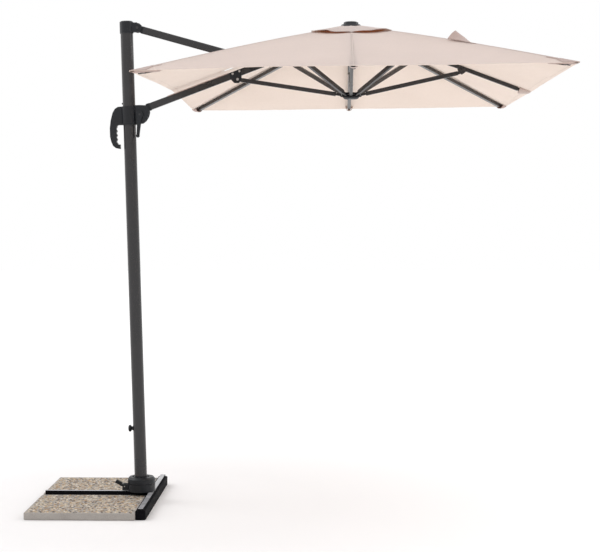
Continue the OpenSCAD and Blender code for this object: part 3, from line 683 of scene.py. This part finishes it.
def arm_top():
    """The line along the middle of the arm tube's top face: its start, its end"""
    low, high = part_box("arm_tube")
    angle = ARM_RISE
    for _ in range(8):
        angle = math.atan2(high.z - low.z - ARM_FAR_DEPTH * math.cos(angle),
                           high.x - low.x - ARM_NEAR_DEPTH * math.sin(angle))
    return (Vector((low.x, 0, low.z + ARM_NEAR_DEPTH * math.cos(angle))),
            Vector((high.x - ARM_FAR_DEPTH * math.sin(angle), 0, high.z)))


def arm_band():
    """The strip of cloth laid over the arm between the canopy's edge and the arm's bracket"""
    near, far = arm_top()
    along = (far - near).normalized()
    up = Vector((-along.z, 0, along.x))
    low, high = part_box("arm_tube")
    half = (high.y - low.y) / 2
    start = near + along * ((HUB_X - HALF_L + ARM_BAND_IN - near.x) / along.x)
    length = (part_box("arm_bracket")[0].x - start.x) / along.x - ARM_BAND_SHORT
    # across the arm and up from its top face, from one edge, which laps its side, to the middle
    section = [(half + 0.0018, -0.002), (half + 0.0012, 0.0006), (half * 0.96, 0.0018),
               (half * 0.5, 0.0032), (0, 0.0036)]
    section += [(-y, z) for y, z in reversed(section[:-1])]
    rows = []
    for k in range(25):
        d = length * k / 24
        ripple = ARM_RIPPLE * noise.noise(Vector((d * 30, 0.3, 0)))
        at = start + along * d
        rows.append([at + Vector((0, y * (1 + 8 * ripple), 0)) + up * (z + max(0.0, ripple))
                     for y, z in section])
    sheet_piece("arm_band", rows, BAND, 0.001, "arm", None)


def over_cloth(x, y, lift):
    """The point that far above the canopy's front right corner at x and y"""
    place = Vector((x - HUB_X, y))
    tries = []
    for stretch in (6, 7):
        for k in range(201):
            rim = canopy_point(stretch, k / 200, 1.0)
            rim = Vector((rim.x - HUB_X, rim.y))
            tries.append((abs(rim.normalized().cross(place.normalized())), stretch, k / 200, rim.length))
    _, stretch, s, length = min(tries)
    return Vector((x, y, canopy_point(stretch, s, place.length / length).z + lift))


def strap():
    """The closing strap: sewn flat at its tail, its free end twists up and stands on one edge"""
    rows = []
    for k, (near, far) in enumerate(zip(STRAP_NEAR, STRAP_FAR)):
        a, b = over_cloth(*near), over_cloth(*far)
        curl = STRAP_CURL * k / 5
        rows.append([a.lerp(b, i / 8) + Vector((0, 0, curl * math.sin(math.pi * i / 8)))
                     for i in range(9)])
    sheet_piece("strap", smooth_rows(rows, 4), BAND, 0.0016, "rib_front_right_body",
                "closure_strap")


def smooth_rows(rows, parts):
    """More rows, on a Catmull-Rom curve through the given ones"""
    made = []
    last = len(rows) - 1
    for k in range(last):
        a, b, c, d = (rows[max(0, min(last, k + j))] for j in (-1, 0, 1, 2))
        for part in range(parts):
            u = part / parts
            made.append([0.5 * ((2 * q) + (r - p) * u + (2 * p - 5 * q + 4 * r - v) * u * u
                                + (3 * q - p - 3 * r + v) * u ** 3) for p, q, r, v in zip(a, b, c, d)])
    made.append(rows[last])
    return made


vent_top()
for place, turn in RIB_TURNS.items():
    if place != "arm":
        pocket(turn, rider(place), place)
    if turn % 2:
        corner_patch(turn, rider(place), f"corner_patch_{place}")
arm_band()
strap()


# ---------------------------------------------------------------- slabs
def slab(node, seed):
    """A cast slab with rounded pebbles standing out of its top face"""
    low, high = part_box(node)
    rng = np.random.default_rng(seed)
    top = high.z - PEBBLE_STAND
    block = cast_block(low, Vector((high.x, high.y, top)))
    body = new_object(node + "_casting", *block, CONCRETE, smooth=False)
    edge = body.modifiers.new("edge", "BEVEL")
    edge.width, edge.segments = SLAB_BEVEL, 3
    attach(body, "base")
    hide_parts(node)
    points, faces, tints = [], [], []
    across = int((high.x - low.x - 2 * PEBBLE_MARGIN) / PEBBLE_PITCH)
    down = int((high.y - low.y - 2 * PEBBLE_MARGIN) / PEBBLE_PITCH)
    for row in range(down):
        for column in range(across):
            shift = rng.uniform(-0.42, 0.42, 2) * PEBBLE_PITCH
            x = low.x + PEBBLE_MARGIN + (column + 0.5 + 0.5 * (row % 2)) * PEBBLE_PITCH + shift[0]
            y = low.y + PEBBLE_MARGIN + (row + 0.5) * PEBBLE_PITCH + shift[1]
            x = min(x, high.x - PEBBLE_MARGIN)
            add_pebble(points, faces, tints, rng, x, y, top)
    stones = new_object(node + "_pebbles", points, faces, PEBBLES)
    tint = stones.data.attributes.new("tint", "FLOAT", "FACE")
    tint.data.foreach_set("value", np.array(tints, np.float32))
    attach(stones, "base")
    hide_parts(node)


def cast_block(low, high):
    """A block with rounded upright corners: its points and its faces"""
    radius, steps = SLAB_CORNER, 5
    outline = []
    plan = ((high.x, high.y), (low.x, high.y), (low.x, low.y), (high.x, low.y))
    for quarter, (x, y) in enumerate(plan):
        turn = math.pi / 2 * quarter
        centre = (x - radius * (1 if x == high.x else -1), y - radius * (1 if y == high.y else -1))
        for k in range(steps + 1):
            a = turn + math.pi / 2 * k / steps
            outline.append((centre[0] + radius * math.cos(a), centre[1] + radius * math.sin(a)))
    n = len(outline)
    corners = [(x, y, z) for z in (low.z, high.z) for x, y in outline]
    ends = [tuple(reversed(range(n))), tuple(range(n, 2 * n))]
    return corners, ends + [(k, (k + 1) % n, n + (k + 1) % n, n + k) for k in range(n)]


def add_pebble(points, faces, tints, rng, x, y, top):
    """One pebble: a lumpy dome of three rings, its lowest ring sunk in the mortar"""
    long = rng.uniform(0.005, 0.0098)
    short = long * rng.uniform(0.6, 0.95)
    tall = rng.uniform(0.0012, 0.0021)
    turn = rng.uniform(0, math.pi)
    tint = rng.uniform(0, 1)
    first = len(points)
    points.append((x, y, top + tall))
    lumps = rng.uniform(0.84, 1.14, PEBBLE_SIDES)
    n = PEBBLE_SIDES
    for spread, height in PEBBLE_RINGS:
        for k in range(n):
            a = math.tau * k / n
            u, v = long * spread * lumps[k] * math.cos(a), short * spread * lumps[k] * math.sin(a)
            points.append((x + u * math.cos(turn) - v * math.sin(turn),
                           y + u * math.sin(turn) + v * math.cos(turn), top + tall * height))
    made = [(first, first + 1 + k, first + 1 + (k + 1) % n) for k in range(n)]
    for ring in range(len(PEBBLE_RINGS) - 1):
        a, b = first + 1 + n * ring, first + 1 + n * (ring + 1)
        made += [(a + k, b + k, b + (k + 1) % n, a + (k + 1) % n) for k in range(n)]
    faces.extend(made)
    tints.extend([tint] * len(made))


slab("slab_front", 11)
slab("slab_back", 12)


# ---------------------------------------------------------------- camera, light and floor
def camera():
    lens = bpy.data.cameras.new("camera")
    lens.sensor_width = CAMERA_SENSOR
    lens.lens = CAMERA_LENS
    made = bpy.data.objects.new("camera", lens)
    made.location = CAMERA_AT
    made.rotation_euler = (math.pi / 2 - CAMERA_DOWN, 0.0, CAMERA_LEFT)
    bpy.context.scene.collection.objects.link(made)
    bpy.context.scene.camera = made


def area_light(name, place, target, side, power):
    """A square lamp of that side in metres, turned towards its target"""
    lamp = bpy.data.lights.new(name, "AREA")
    lamp.shape = "SQUARE"
    lamp.size = side
    lamp.energy = power
    made = bpy.data.objects.new(name, lamp)
    made.location = place
    made.rotation_euler = (Vector(target) - Vector(place)).to_track_quat("-Z", "Y").to_euler()
    bpy.context.scene.collection.objects.link(made)


def studio():
    world = bpy.data.worlds.new("studio")
    bpy.context.scene.world = world
    bpy.context.scene.view_settings.view_transform = "Standard"
    world.use_nodes = True
    background = world.node_tree.nodes["Background"]
    background.inputs["Color"].default_value = (1.0, 1.0, 1.0, 1)
    background.inputs["Strength"].default_value = 1.0
    area_light("left_light", (-3.8, 0.6, 4.4), (0.6, 0, 1.9), 2.6, 60)
    area_light("right_light", (6.0, 0.6, 4.4), (1.6, 0, 1.9), 2.6, 70)
    h = FLOOR_HALF
    floor = new_object("floor", [(-h, -h, 0), (h, -h, 0), (h, h, 0), (-h, h, 0)], [(0, 1, 2, 3)],
                       floor_paint(), smooth=False)
    floor.location.z = FLOOR_Z


def floor_paint():
    """A pale floor with a painted shadow: a little less bright around the parasol than further off"""
    n = Nodes("pale_floor")
    away = n.add("VectorMath", {0: n.place()}, operation="LENGTH").outputs["Value"]
    far = n.add("MapRange", {"Value": away, "From Min": 1.0, "From Max": 5.0}).outputs["Result"]
    # near the parasol the floor is darker and has no glow of its own: a painted shadow
    n.set(Base_Color=n.mix(far, FLOOR_IN_PAINTED_SHADOW, FLOOR_FAR), Roughness=0.7, Specular_IOR_Level=0.0,
          Emission_Color=(1.0, 1.0, 1.0, 1), Emission_Strength=n.span(far, 0.0, FLOOR_GLOW))
    return n.mat


camera()
studio()


# ---------------------------------------------------------------- finishes of the carried-over nodes
FINISH = {"frame_paint": PAINT, "black_plastic": BLACK, "cap_plastic": GLOSS, "steel": STEEL,
          "nylon": NYLON, "rubber": RUBBER, "stone": CONCRETE, "canopy_fabric": CLOTH}
for row in frame["record"]["subparts"]:
    shown = NODES[row["node"]]
    shown.data.materials.clear()
    shown.data.materials.append(RAIL if row["node"].startswith("rail_") else FINISH[row["material_slot"]])
